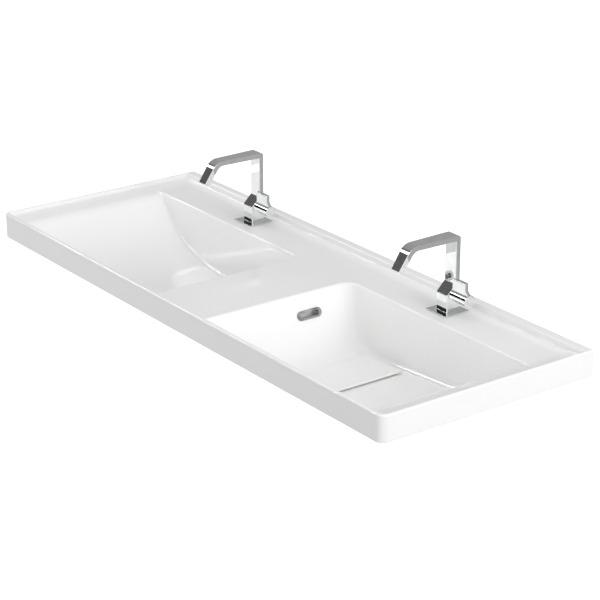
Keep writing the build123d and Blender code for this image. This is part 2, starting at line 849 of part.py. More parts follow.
def handle():
    """The handle: a round hub along the tap's side with an upright flat blade on it."""
    start = body_width / 2 + hub_gap
    end = start + hub_length
    spindle_end = start + spindle_reach
    blade_start = start + blade_inset
    blade_end = blade_start + blade_width
    flare_top = blade_top - blade_flare_height - (end - blade_end)
    groove = end - hub_groove_from_end
    with BuildPart() as piece:
        add(hub_disc(start, hub_length, hub_radius))
        ends = piece.edges().filter_by(GeomType.CIRCLE)
        fillet(ends, blade_edge_round)
        add(hub_disc(groove, hub_groove_width, hub_radius + hub_groove_depth), mode=Mode.SUBTRACT)
        add(hub_disc(groove, hub_groove_width, hub_radius - hub_groove_depth))
        with BuildSketch(Plane.XZ.offset(blade_front)):
            with BuildLine():
                Polyline(
                    (blade_start, hub_height),
                    (blade_start, blade_top),
                    (blade_end, blade_top),
                    (blade_end, flare_top + (end - blade_end)),
                    (end - blade_edge_round, flare_top + blade_edge_round),
                    (end - blade_edge_round, hub_height),
                    close=True,
                )
            make_face()
        extrude(amount=-blade_thickness)
        add(hub_disc(start, spindle_reach, spindle_radius), mode=Mode.SUBTRACT)
        add(hub_disc(spindle_end, hub_length, handle_screw_radius), mode=Mode.SUBTRACT)
        head_start = end - handle_plug_depth - handle_screw_head_height
        add(hub_disc(head_start, hub_length, handle_screw_head_radius), mode=Mode.SUBTRACT)
        add(hub_disc(end - handle_plug_depth, hub_length, handle_plug_radius), mode=Mode.SUBTRACT)
    return piece.part


def handle_screw():
    """The screw through the hub into the spindle."""
    hub_start = body_width / 2 + hub_gap
    head_start = hub_start + hub_length - handle_plug_depth - handle_screw_head_height
    shank_start = hub_start + spindle_reach - handle_screw_length
    with BuildPart() as piece:
        add(hub_disc(head_start, handle_screw_head_height, handle_screw_head_radius))
        add(hub_disc(shank_start, head_start - shank_start, handle_screw_radius))
    return piece.part


def handle_plug():
    """The small disc that hides the handle's screw."""
    end = body_width / 2 + hub_gap + hub_length
    with BuildPart() as piece:
        add(hub_disc(end - handle_plug_depth, handle_plug_depth, handle_plug_radius - handle_plug_fit))
    return piece.part


def mounting_stud():
    """The threaded stud that hangs from the body through the deck."""
    with BuildPart() as piece:
        with BuildSketch(Plane.XY.offset(stud_in_body)):
            with Locations((0, stud_from_centre)):
                Circle(stud_radius)
        extrude(amount=-stud_in_body - stud_drop)
    return piece.part


def horseshoe_washer(top, thickness):
    """A washer under the deck, open at the front for the water pipes."""
    with BuildPart() as piece:
        with BuildSketch(Plane.XY.offset(top)):
            Circle(washer_radius)
            with Locations((0, stud_from_centre - washer_mouth_from_stud - washer_radius)):
                Rectangle(washer_mouth, 2 * washer_radius, mode=Mode.SUBTRACT)
            with Locations((0, stud_from_centre)):
                Circle(stud_radius + stud_fit, mode=Mode.SUBTRACT)
        extrude(amount=-thickness)
    return piece.part


def stud_nut():
    """The nut under the washers."""
    top = deck_bottom - tap_height - rubber_washer_thickness - steel_washer_thickness
    with BuildPart() as piece:
        with BuildSketch(Plane.XY.offset(top)):
            with Locations((0, stud_from_centre)):
                RegularPolygon(stud_nut_flats / 2, 6, major_radius=False)
                Circle(stud_radius, mode=Mode.SUBTRACT)
        extrude(amount=-stud_nut_height)
    return piece.part


# Each piece in its place

def write_bowl_pieces():
    """Write the pieces of the right bowl, and their mirror images for the left one."""
    under_boss = boss_bottom - gasket_thickness
    pieces = {
        "drain_cover": drain_cover(),
        "cover_pads": cover_pads(),
        "strainer": strainer(),
        "waste_body": waste_body(),
        "waste_seal": ring_on_tail(flange_seat, flange_seal_thickness, flange_radius - flange_seal_inset),
        "waste_gasket": ring_on_tail(under_boss, gasket_thickness, gasket_radius),
        "waste_nut": waste_nut(),
        "overflow_ring": overflow_ring(),
    }
    for name, piece in pieces.items():
        export_piece(piece, f"{name}_right")
        export_piece(mirror(piece, about=Plane.YZ), f"{name}_left")


def write_tap_pieces():
    """Write the pieces of both taps, which are alike and stand side by side on the deck."""
    washer_top = deck_bottom - tap_height
    pieces = {
        "tap_plate": tap_plate(),
        "tap_seal": tap_seal(),
        "tap_body": tap_body(),
        "spout": spout(),
        "aerator": aerator(),
        "cartridge": cartridge(),
        "cartridge_nut": cartridge_nut(),
        "spindle": spindle(),
        "handle": handle(),
        "handle_screw": handle_screw(),
        "handle_plug": handle_plug(),
        "mounting_stud": mounting_stud(),
        "rubber_washer": horseshoe_washer(washer_top, rubber_washer_thickness),
        "steel_washer": horseshoe_washer(washer_top - rubber_washer_thickness, steel_washer_thickness),
        "stud_nut": stud_nut(),
    }
    for side, tap_x in (("left", -tap_spacing / 2), ("right", tap_spacing / 2)):
        for name, piece in pieces.items():
            export_piece(Pos(tap_x, tap_y, tap_height) * piece, f"{name}_{side}")


export_piece(basin(), "basin_body")
write_bowl_pieces()
write_tap_pieces()
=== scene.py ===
import json
from math import acos, atan, atan2, cos, pi, radians, sin, tan

import bpy
import numpy as np
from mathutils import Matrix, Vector

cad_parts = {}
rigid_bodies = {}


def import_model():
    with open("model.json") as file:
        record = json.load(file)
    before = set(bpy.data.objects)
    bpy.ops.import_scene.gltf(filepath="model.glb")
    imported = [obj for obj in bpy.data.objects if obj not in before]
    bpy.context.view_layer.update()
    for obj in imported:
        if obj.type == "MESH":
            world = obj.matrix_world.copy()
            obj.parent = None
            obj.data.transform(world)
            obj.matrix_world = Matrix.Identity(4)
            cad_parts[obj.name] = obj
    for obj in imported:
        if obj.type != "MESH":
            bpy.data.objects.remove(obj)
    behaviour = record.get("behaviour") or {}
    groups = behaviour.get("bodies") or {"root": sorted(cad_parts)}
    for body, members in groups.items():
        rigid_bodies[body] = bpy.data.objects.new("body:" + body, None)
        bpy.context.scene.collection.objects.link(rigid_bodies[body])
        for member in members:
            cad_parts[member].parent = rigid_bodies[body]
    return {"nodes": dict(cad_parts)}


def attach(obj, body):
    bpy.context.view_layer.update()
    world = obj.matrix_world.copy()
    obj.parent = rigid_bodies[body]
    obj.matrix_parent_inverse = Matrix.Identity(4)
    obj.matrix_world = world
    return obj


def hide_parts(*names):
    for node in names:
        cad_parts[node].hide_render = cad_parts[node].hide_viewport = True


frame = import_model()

for leftover in [thing for thing in bpy.data.objects if thing.name in ("Cube", "Light", "Camera")]:
    bpy.data.objects.remove(leftover)
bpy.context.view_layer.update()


# The ceramic tray. One fired piece: rims, deck and both bowls, white glaze on vitreous china. It is cast
# hollow and trimmed, then glazed, so every edge is soft. The air above it is modelled as one smooth block
# and taken away from the clay, and the recesses for the drain covers, overflows and taps are cut after it.
# Sizes are in millimetres. Places across count from the middle, because the two halves mirror each other.
MM = 0.001
SIDES = (("left", -1), ("right", 1))
RIM_TOP = 35.05
DECK = 22.7
INSIDE_X = 593.3
INSIDE_FRONT = -443.3
INSIDE_BACK = -19.7
FRONT_CORNER = 9.3
BACK_CORNER = 4.3
SHELF_START = 567.0
SHELF_RISE = tan(radians(10))
SHELF_BLEND = 14.0
RIM_ROUND = 2.4
FOOT_ROUND = 3.0
BOWL_EDGE_X = 78.7
BOWL_BACK = -112.7
CENTRE_LEAN = radians(20)
BACK_LEAN = radians(4)
FLOOR_TILT = radians(4)
FRONT_SLOPE = radians(42)
FRONT_SHOULDER = 16.7
FLOOR_Z = -93.3
FLOOR_X = 214.0
SWEEP_CENTRE = (330.4, 196.8)
SWEEP_RADIUS = 281.3
EDGE_ROUND = 4.5
SOFT_EDGE_ROUND = 0.3
ROLL_ROUND = 30.0
CORNER_ROUND = 23.0
CREASE_ROUND = 10.5
END_CREASE_ROUND = 3.2
FLOOR_ROUND = 38.0
FRONT_ROUND = 11.0
CORNER_ENDS = (125, 190)
CREASE_ENDS = (300, 545)
EDGE_ENDS = (545, 570)
DRAIN = (214.0, -214.0, -93.0)
RECESS = (92.4, 146.4, 16.4)
RECESS_CORNER = 7.0
OVERFLOW = (BOWL_EDGE_X + 0.3 + 37 * tan(CENTRE_LEAN), -214.0, -14.0)
OVERFLOW_SLOT = (30.0, 44.4, 12.4)
OVERFLOW_CORNER = 6.1
TAP_X = 295.0
TAP_Y = -62.5
TAP_HOLE_RADIUS = 17.7
FILL_OVER = 1.6
FILL_TOP = 0.029
# How far two walls face the same way where they meet, as a cosine.
FLOOR_FACING = sin(radians(16))
FRONT_FACING = 0.55
BACK_FACING = 0.03
DECK_FACING = 0.3
SHELF_FACING = 0.75


def meet(a, b, radius, turn=0.0):
    """Where two walls of the air meet: the larger of the two distances, with a round between."""
    grown_a = a + radius
    grown_b = b + radius
    square = grown_a ** 2 + grown_b ** 2 - 2 * grown_a * grown_b * turn
    reach = np.sqrt(np.maximum(square, 0) / (1 - turn ** 2))
    rounded = (grown_a > grown_b * turn) & (grown_b > grown_a * turn)
    return np.where(rounded, reach - radius, np.maximum(a, b))


def ease(value, start, end):
    """Runs softly from 0 to 1 between two places."""
    t = np.clip((value - start) / (end - start), 0, 1)
    return t * t * (3 - 2 * t)


def outline_distance(x, y):
    """Distance to the inner outline of the rims in plan, in millimetres, negative inside it."""
    middle = (INSIDE_FRONT + INSIDE_BACK) / 2
    half = (INSIDE_BACK - INSIDE_FRONT) / 2
    corner = np.where(y < middle, FRONT_CORNER, BACK_CORNER)
    over_x = x - INSIDE_X + corner
    over_y = np.abs(y - middle) - half + corner
    outside = np.hypot(np.maximum(over_x, 0), np.maximum(over_y, 0))
    return outside + np.minimum(np.maximum(over_x, over_y), 0) - corner


def air_distance(x, y, z):
    """Distance of a point from the air above the tray: negative in the air, positive in the clay."""
    along = np.clip(x - SHELF_START + SHELF_BLEND, 0, None)
    soft = np.minimum(along, 2 * SHELF_BLEND) ** 2 / (4 * SHELF_BLEND)
    soft = soft + np.maximum(along - 2 * SHELF_BLEND, 0)
    deck = DECK + soft * SHELF_RISE - z
    centre = ((DECK - z) * tan(CENTRE_LEAN) + BOWL_EDGE_X - x) * cos(CENTRE_LEAN)
    floor = (FLOOR_Z + (x - FLOOR_X) * tan(FLOOR_TILT) - z) * cos(FLOOR_TILT)
    sweep = np.hypot(x - SWEEP_CENTRE[0], z - SWEEP_CENTRE[1]) - SWEEP_RADIUS
    shelf = (DECK + (x - SHELF_START) * SHELF_RISE - z) * cos(atan(SHELF_RISE))
    end = -meet(-sweep, -shelf, ROLL_ROUND, SHELF_FACING)
    lower = np.where(x < SWEEP_CENTRE[0] + SWEEP_RADIUS * sin(FLOOR_TILT), floor, end)
    back = (y - BOWL_BACK + (DECK - z) * tan(BACK_LEAN)) * cos(BACK_LEAN)
    front = (FRONT_SHOULDER - (y - INSIDE_FRONT) * tan(FRONT_SLOPE) - z) * cos(FRONT_SLOPE)
    basin = meet(centre, lower, FLOOR_ROUND, FLOOR_FACING)
    basin = meet(basin, front, FRONT_ROUND, FRONT_FACING)
    crease = CORNER_ROUND + (CREASE_ROUND - CORNER_ROUND) * ease(x, *CORNER_ENDS)
    crease = crease + (END_CREASE_ROUND - CREASE_ROUND) * ease(x, *CREASE_ENDS)
    basin = meet(basin, back, crease, BACK_FACING)
    edge = EDGE_ROUND + (SOFT_EDGE_ROUND - EDGE_ROUND) * ease(x, *EDGE_ENDS)
    tray = -meet(-deck, -basin, edge, DECK_FACING)
    return meet(outline_distance(x, y), tray, FOOT_ROUND)


def surface_height(x, y):
    """Height of the glaze over a place in plan, found by halving."""
    low = np.full(x.shape, -140.0)
    high = np.full(x.shape, RIM_TOP + 10)
    for _ in range(40):
        middle = (low + high) / 2
        in_clay = air_distance(x, y, middle) > 1e-7
        low = np.where(in_clay, middle, low)
        high = np.where(in_clay, high, middle)
    return high


def spread(*stretches):
    """Places along a line: each stretch is its start, its end and the step between places."""
    places = []
    for start, end, step in stretches:
        count = max(1, round(abs(end - start) / step))
        places += [start + (end - start) * i / count for i in range(count)]
    return places + [stretches[-1][1]]


# The lines of the grid that becomes the glaze, closer together where the surface bends.
WALL_STEPS = (0.12, 0.35, 0.7, 1.1, 1.6, 2.2, 3.0)
half_x = spread((0, 72, 9), (72, 74, 1), (74, 81, 0.45), (81, 126, 1.0), (126, 156, 2.5),
                (156, 348, 8), (348, 470, 5), (470, 560, 2.5), (560, 588, 3))
half_x += [INSIDE_X - d for d in WALL_STEPS[::-1]] + [INSIDE_X]
columns = sorted({round(side * x, 4) for x in half_x for side in (-1, 1)})
rows = [INSIDE_FRONT] + [INSIDE_FRONT + d for d in WALL_STEPS]
rows += spread((INSIDE_FRONT + 5, -420, 2), (-420, -340, 4), (-340, -140, 7), (-140, -108, 0.6),
               (-108, -105, 1), (-105, INSIDE_BACK - 5, 8))
rows += [INSIDE_BACK - d for d in WALL_STEPS[::-1]] + [INSIDE_BACK]


def deselect_all():
    """Nothing selected, in object mode."""
    if bpy.context.object and bpy.context.object.mode != "OBJECT":
        bpy.ops.object.mode_set(mode="OBJECT")
    bpy.ops.object.select_all(action="DESELECT")


def name_piece(name):
    """Name the active object and its mesh."""
    piece = bpy.context.object
    piece.name = name
    piece.data.name = name
    return piece


def settle(piece):
    """Put the piece's place into its mesh, with the object at the origin."""
    deselect_all()
    piece.select_set(True)
    bpy.context.view_layer.objects.active = piece
    bpy.ops.object.transform_apply(location=True, rotation=True, scale=True)
    return piece


def apply_all(piece):
    """Apply every modifier of a piece in order."""
    deselect_all()
    piece.select_set(True)
    bpy.context.view_layer.objects.active = piece
    for modifier in list(piece.modifiers):
        bpy.ops.object.modifier_apply(modifier=modifier.name)


def carve(piece, cutter, operation="DIFFERENCE"):
    """Cut a piece with another one, or join them, and drop the other one."""
    boolean = piece.modifiers.new("carve", "BOOLEAN")
    boolean.operation = operation
    boolean.solver = "MANIFOLD"
    boolean.object = cutter
    apply_all(piece)
    bpy.data.objects.remove(cutter)


def copy_of_node(node, name):
    """A merged copy of a CAD node's mesh, to be shaped into a piece."""
    piece = bpy.data.objects.new(name, frame["nodes"][node].data.copy())
    piece.data.name = name
    bpy.context.scene.collection.objects.link(piece)
    deselect_all()
    piece.select_set(True)
    bpy.context.view_layer.objects.active = piece
    if piece.data.has_custom_normals:
        bpy.ops.mesh.customdata_custom_splitnormals_clear()
    bpy.ops.object.mode_set(mode="EDIT")
    bpy.ops.mesh.select_all(action="SELECT")
    bpy.ops.mesh.remove_doubles(threshold=2e-6)
    bpy.ops.object.mode_set(mode="OBJECT")
    piece.data.materials.clear()
    return piece


def outer_ring():
    """Select the open edge of the active mesh and return its vertices' numbers."""
    bpy.ops.object.mode_set(mode="EDIT")
    bpy.ops.mesh.select_mode(type="VERT")
    bpy.ops.mesh.select_all(action="DESELECT")
    bpy.ops.mesh.select_non_manifold()
    bpy.ops.object.mode_set(mode="OBJECT")
    return [v.index for v in bpy.context.object.data.vertices if v.select]


deselect_all()
bpy.ops.mesh.primitive_grid_add(x_subdivisions=len(columns) - 1, y_subdivisions=len(rows) - 1, size=2)
air = name_piece("air_above_the_tray")
across = len(columns)
plan = np.zeros((len(rows) * across, 2))
for number, vertex in enumerate(air.data.vertices):
    column = round((vertex.co.x + 1) / 2 * (across - 1))
    row = round((vertex.co.y + 1) / 2 * (len(rows) - 1))
    plan[number] = columns[column], rows[row]
x, y = plan[:, 0].copy(), plan[:, 1].copy()
for y_end, corner, inward in ((INSIDE_FRONT, FRONT_CORNER, 1), (INSIDE_BACK, BACK_CORNER, -1)):
    over_x = (np.abs(x) - INSIDE_X + corner) / corner
    over_y = ((y_end + inward * corner - y) * inward) / corner
    in_corner = (over_x > 0) & (over_y > 0)
    round_x = over_x * np.sqrt(np.maximum(1 - over_y ** 2 / 2, 0))
    round_y = over_y * np.sqrt(np.maximum(1 - over_x ** 2 / 2, 0))
    x = np.where(in_corner, np.sign(x) * (INSIDE_X - corner + round_x * corner), x)
    y = np.where(in_corner, y_end + inward * corner * (1 - round_y), y)
z = surface_height(np.abs(x), y)
air.data.vertices.foreach_set("co", (np.stack([x, y, z], axis=1) * MM).ravel())
ring = outer_ring()
ring_x = np.array([air.data.vertices[i].co.x / MM for i in ring])
ring_y = np.array([air.data.vertices[i].co.y / MM for i in ring])
side_x = np.abs(ring_x)
step = 0.01
slope_x = outline_distance(side_x + step, ring_y) - outline_distance(side_x - step, ring_y)
slope_y = outline_distance(side_x, ring_y + step) - outline_distance(side_x, ring_y - step)
size = np.hypot(slope_x, slope_y)
out_x, out_y = np.sign(ring_x) * slope_x / size, slope_y / size
# The way up over the rims' rounded inner edge: how far out of the outline, and how high.
turns = [pi / 12 * k for k in range(1, 7)]
rise = [(0.0, RIM_TOP - RIM_ROUND)]
rise += [(RIM_ROUND * (1 - cos(t)), RIM_TOP - RIM_ROUND * (1 - sin(t))) for t in turns]
rise += [(RIM_ROUND + 0.6, RIM_TOP), (RIM_ROUND + 0.6, RIM_TOP + 25)]
plans = {i: (a, b, u, v) for i, a, b, u, v in zip(ring, ring_x, ring_y, out_x, out_y)}
nearest = {}
for out, height in rise:
    ring_now = outer_ring()
    before = {}
    for i in ring_now:
        co = air.data.vertices[i].co
        before[(round(co.x / MM, 2), round(co.y / MM, 2))] = nearest.get(i) or plans[i]
    bpy.ops.object.mode_set(mode="EDIT")
    bpy.ops.mesh.extrude_region_move()
    bpy.ops.object.mode_set(mode="OBJECT")
    nearest = {}
    for vertex in air.data.vertices:
        if vertex.select:
            a, b, u, v = before[(round(vertex.co.x / MM, 2), round(vertex.co.y / MM, 2))]
            vertex.co = Vector((a + u * out, b + v * out, height)) * MM
            nearest[vertex.index] = (a, b, u, v)
outer_ring()
bpy.ops.object.mode_set(mode="EDIT")
bpy.ops.mesh.edge_face_add()
bpy.ops.mesh.select_all(action="SELECT")
bpy.ops.mesh.normals_make_consistent(inside=False)
bpy.ops.object.mode_set(mode="OBJECT")

# The clay is filled up to just above the new surface first, so that carving leaves none of the old one.
clay = copy_of_node("basin_body", "basin_glazed")
filling = air.copy()
filling.data = air.data.copy()
bpy.context.scene.collection.objects.link(filling)
deselect_all()
filling.select_set(True)
bpy.context.view_layer.objects.active = filling
bpy.ops.object.mode_set(mode="EDIT")
bpy.ops.mesh.select_all(action="SELECT")
bpy.ops.transform.shrink_fatten(value=FILL_OVER * MM, use_even_offset=False)
bpy.ops.mesh.bisect(plane_co=(0, 0, FILL_TOP), plane_no=(0, 0, 1), clear_outer=True, use_fill=True)
bpy.ops.object.mode_set(mode="OBJECT")
carve(clay, filling, "UNION")
carve(clay, air)


def edges_where(piece, chosen):
    """Select the edges of a piece whose two ends, in millimetres, pass a test, and stay in edit mode."""
    deselect_all()
    piece.select_set(True)
    bpy.context.view_layer.objects.active = piece
    bpy.ops.object.mode_set(mode="EDIT")
    bpy.ops.mesh.select_mode(type="EDGE")
    bpy.ops.mesh.select_all(action="DESELECT")
    bpy.ops.object.mode_set(mode="OBJECT")
    place = piece.matrix_world
    for edge in piece.data.edges:
        a, b = (place @ piece.data.vertices[i].co / MM for i in edge.vertices)
        edge.select = bool(chosen(a, b))
    bpy.ops.object.mode_set(mode="EDIT")


def bevel_where(piece, radius, segments, chosen):
    """Round the edges of a piece that pass a test."""
    edges_where(piece, chosen)
    bpy.ops.mesh.bevel(offset=radius * MM, offset_type="OFFSET", segments=segments, profile=0.5,
                       affect="EDGES")
    bpy.ops.object.mode_set(mode="OBJECT")


def block(name, centre, sizes, turn=(0, 0, 0)):
    """A box of real size in its place."""
    deselect_all()
    bpy.ops.mesh.primitive_cube_add(size=MM, location=Vector(centre) * MM, rotation=turn)
    piece = name_piece(name)
    piece.scale = sizes
    deselect_all()
    piece.select_set(True)
    bpy.ops.object.transform_apply(location=False, rotation=False, scale=True)
    return piece


def upright(a, b):
    """True for an edge that runs straight up."""
    return abs(a.x - b.x) < 0.01 and abs(a.y - b.y) < 0.01


for side in (-1, 1):
    recess = block("recess_cutter", (0, 0, 0), RECESS)
    bevel_where(recess, RECESS_CORNER, 6, upright)
    recess.rotation_euler = (0, -side * FLOOR_TILT, 0)
    recess.location = Vector((side * DRAIN[0], DRAIN[1], DRAIN[2])) * MM
    carve(clay, settle(recess))
    slot = block("slot_cutter", (0, 0, 0), OVERFLOW_SLOT)
    bevel_where(slot, OVERFLOW_CORNER, 10, lambda a, b: abs(a.y - b.y) < 0.01 and abs(a.z - b.z) < 0.01)
    slot.rotation_euler = (0, -side * CENTRE_LEAN, 0)
    slot.location = Vector((side * (OVERFLOW[0] - 4), OVERFLOW[1], OVERFLOW[2] - 1.5)) * MM
    carve(clay, settle(slot))
    deselect_all()
    bpy.ops.mesh.primitive_cylinder_add(vertices=64, radius=TAP_HOLE_RADIUS * MM, depth=30 * MM,
                                        location=Vector((side * TAP_X, TAP_Y, 18)) * MM)
    carve(clay, settle(name_piece("tap_hole_cutter")))


def smooth(piece, angle=32):
    """Smooth shading, sharp only where two faces meet at more than an angle."""
    deselect_all()
    piece.select_set(True)
    bpy.context.view_layer.objects.active = piece
    bpy.ops.object.shade_smooth_by_angle(angle=radians(angle))
    weighted = piece.modifiers.new("even_shading", "WEIGHTED_NORMAL")
    weighted.keep_sharp = True
    apply_all(piece)


smooth(clay)


def new_material(name):
    """A material with its shader, and a way to add nodes to it."""
    material = bpy.data.materials.new(name)
    material.use_nodes = True
    nodes = material.node_tree.nodes
    links = material.node_tree.links
    shader = nodes["Principled BSDF"]

    def add(kind, inputs=None, **settings):
        node = nodes.new(kind)
        for key, value in settings.items():
            setattr(node, key, value)
        for key, value in (inputs or {}).items():
            if isinstance(value, bpy.types.NodeSocket):
                links.new(value, node.inputs[key])
            else:
                node.inputs[key].default_value = value
        return node

    return material, shader, add, links


def ramp(add, factor, stops):
    """A colour ramp node from a list of places and colours."""
    node = add("ShaderNodeValToRGB", {"Fac": factor})
    while len(node.color_ramp.elements) < len(stops):
        node.color_ramp.elements.new(0.5)
    for element, (position, colour) in zip(node.color_ramp.elements, stops):
        element.position = position
        element.color = (*colour, 1)
    return node


# White glaze with a faint cloudiness, and bare clay on the back face that stands against the wall.
glaze, shader, add, links = new_material("white_glaze")
spot = add("ShaderNodeTexCoord").outputs["Object"]
cloud = add("ShaderNodeTexNoise", {"Vector": spot, "Scale": 9.0, "Detail": 3.0})
tone = ramp(add, cloud.outputs["Fac"], ((0.3, (0.918, 0.924, 0.916)), (0.7, (0.934, 0.938, 0.932))))
parts = add("ShaderNodeSeparateXYZ", {"Vector": spot})
ground = add("ShaderNodeMapRange", {"Value": parts.outputs["Y"], "From Min": -0.0012, "From Max": -0.0006})
speck = add("ShaderNodeTexNoise", {"Vector": spot, "Scale": 900.0, "Detail": 2.0})
bisque = ramp(add, speck.outputs["Fac"], ((0.35, (0.70, 0.68, 0.64)), (0.65, (0.78, 0.77, 0.74))))
colour = add("ShaderNodeMix", {"Factor": ground.outputs["Result"], 6: tone.outputs["Color"],
                               7: bisque.outputs["Color"]}, data_type="RGBA")
links.new(colour.outputs[2], shader.inputs["Base Color"])
matt = add("ShaderNodeMapRange", {"Value": ground.outputs["Result"], "To Min": 0.05, "To Max": 0.75})
links.new(matt.outputs["Result"], shader.inputs["Roughness"])
skin = add("ShaderNodeTexNoise", {"Vector": spot, "Scale": 55.0, "Detail": 1.0})
orange_peel = add("ShaderNodeBump", {"Height": skin.outputs["Fac"], "Strength": 0.02, "Distance": 0.002})
links.new(orange_peel.outputs["Normal"], shader.inputs["Normal"])
shader.inputs["IOR"].default_value = 1.5

clay.data.materials.clear()
clay.data.materials.append(glaze)
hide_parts("basin_body")
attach(clay, "basin")


# The taps. Each is a cast brass block with a flat bar spout and a lever at its right side, all polished and
# chrome plated. They are alike, so each piece is made once round the middle of the base plate's top. A stud
# and a nut under the deck pull the block down on its plate.
PLATE = (54, 54, 1.5)
PLATE_TOP = 25.0
PLATE_HOLE_RADIUS = 13.0
HALF_WIDTH = 15.0
HALF_DEPTH = 14.0
SEAT = 49.9
SLOPE_FOOT = 31.5
INLET_RADIUS, INLET_X, INLET_Y = 4.0, 6.5, -4.0
STUD_RADIUS, STUD_Y = 3.0, 8.0
BORE_DEPTH = 12
CARTRIDGE_RADIUS = 7.5
COLUMN_FRONT = 4.4
ARM_TOP = 138.5
ARM_UNDER = 128.9
BEND_Y = -93.0
OUTER_BEND = 28.0
INNER_BEND = 18.0
TIP_ANGLE = radians(56)
TIP_LENGTH = 48.6
TIP_THICK = 10.5
MOUTH_CUT = radians(17)
TIP_WIDTH, BEND_WIDTH = 22.0, 25.0
MOUTH = (15, 7, 14)
HUB_Z = 32.0
HUB_START = 15.4
HUB_END = 58.4
HUB_RADIUS = 11.0
GROOVE = HUB_END - 12.0
GROOVE_DEPTH = 0.5
BLADE_BACK, BLADE_FRONT = -3.2, 4.0
BLADE_TOP = 63.5


def plated(name, colour, roughness, spread_of_roughness=0.03):
    """A metal with a faint cloudiness in its polish."""
    material, shader, add, links = new_material(name)
    spot = add("ShaderNodeTexCoord").outputs["Object"]
    haze = add("ShaderNodeTexNoise", {"Vector": spot, "Scale": 60.0, "Detail": 3.0})
    dull = tuple(0.94 * part for part in colour)
    tint = ramp(add, haze.outputs["Fac"], ((0.35, dull), (0.65, colour)))
    links.new(tint.outputs["Color"], shader.inputs["Base Color"])
    polish = add("ShaderNodeMapRange", {"Value": haze.outputs["Fac"], "To Min": roughness,
                                        "To Max": roughness + spread_of_roughness})
    links.new(polish.outputs["Result"], shader.inputs["Roughness"])
    shader.inputs["Metallic"].default_value = 1.0
    return material


def extruded(name, outline, start, end, turn=(0, 0, 0)):
    """A bar of one section, from its outline in Y and Z, along X between two places."""
    deselect_all()
    bpy.ops.mesh.primitive_circle_add(vertices=len(outline), radius=MM, fill_type="NGON")
    piece = name_piece(name)
    for vertex, (y, z) in zip(piece.data.vertices, outline):
        vertex.co = Vector((start, y, z)) * MM
    bpy.ops.object.mode_set(mode="EDIT")
    bpy.ops.mesh.select_all(action="SELECT")
    bpy.ops.mesh.extrude_region_move(TRANSFORM_OT_translate={"value": ((end - start) * MM, 0, 0)})
    bpy.ops.mesh.select_all(action="SELECT")
    bpy.ops.mesh.normals_make_consistent(inside=False)
    bpy.ops.object.mode_set(mode="OBJECT")
    piece.rotation_euler = turn
    return settle(piece)


def rounded(corners, step=8):
    """An outline with its corners rounded, from places and their radii, in steps of some degrees."""
    outline = []
    for number, (place, radius) in enumerate(corners):
        here = np.array(place, dtype=float)
        if not radius:
            outline.append(tuple(here))
            continue
        ways = [np.array(corners[(number + turn) % len(corners)][0]) - here for turn in (-1, 1)]
        back_way, on_way = (way / np.hypot(*way) for way in ways)
        half = acos(np.dot(back_way, on_way)) / 2
        middle = back_way + on_way
        centre = here + middle / np.hypot(*middle) * radius / sin(half)
        start = here + back_way * radius / tan(half) - centre
        end = here + on_way * radius / tan(half) - centre
        first = atan2(start[1], start[0])
        swept = (atan2(end[1], end[0]) - first + pi) % (2 * pi) - pi
        count = max(2, round(abs(swept) / radians(step)))
        turns = [first + swept * i / count for i in range(count + 1)]
        outline += [(centre[0] + radius * cos(t), centre[1] + radius * sin(t)) for t in turns]
    return outline


def soften(piece, radius, segments=3, angle=28):
    """Round every sharp edge of a piece."""
    deselect_all()
    piece.select_set(True)
    bpy.context.view_layer.objects.active = piece
    bpy.ops.object.mode_set(mode="EDIT")
    bpy.ops.mesh.select_mode(type="EDGE")
    bpy.ops.mesh.select_all(action="DESELECT")
    bpy.ops.mesh.edges_select_sharp(sharpness=radians(angle))
    bpy.ops.mesh.bevel(offset=radius * MM, offset_type="OFFSET", segments=segments, profile=0.5,
                       affect="EDGES")
    bpy.ops.object.mode_set(mode="OBJECT")


def bar(name, radius, start, end, axis="X", centre=(0, 0), sides=64):
    """A round bar between two places along X or Z, in millimetres."""
    middle, length = (start + end) / 2, end - start
    place = (middle, *centre) if axis == "X" else (*centre, middle)
    turn = (0, pi / 2, 0) if axis == "X" else (0, 0, 0)
    deselect_all()
    bpy.ops.mesh.primitive_cylinder_add(vertices=sides, radius=radius * MM, depth=length * MM,
                                        location=Vector(place) * MM, rotation=turn)
    return settle(name_piece(name))


def put(piece, name, place, turn, body, node):
    """Set a copy of a piece in its place, attach it to the body it rides on and hide the CAD node it stands
    for.
    """
    twin = piece.copy()
    twin.data = piece.data.copy()
    twin.name = twin.data.name = name
    bpy.context.scene.collection.objects.link(twin)
    twin.rotation_euler = turn
    twin.location = Vector(place) * MM
    settle(twin)
    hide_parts(node)
    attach(twin, body)


def finish_master(piece, material, angle=32):
    """Give a piece that is made once its shading and its material."""
    smooth(piece, angle)
    piece.data.materials.clear()
    piece.data.materials.append(material)


chrome = plated("chrome_plate", (0.93, 0.94, 0.945), 0.02)

plate = block("tap_plate_master", (0, 0, -PLATE[2] / 2), PLATE)
settle(plate)
bevel_where(plate, 0.5, 3, lambda a, b: a.z > -0.01 and b.z > -0.01 or upright(a, b))
carve(plate, bar("hole_cutter", PLATE_HOLE_RADIUS, -3, 2, "Z"))
finish_master(plate, chrome)

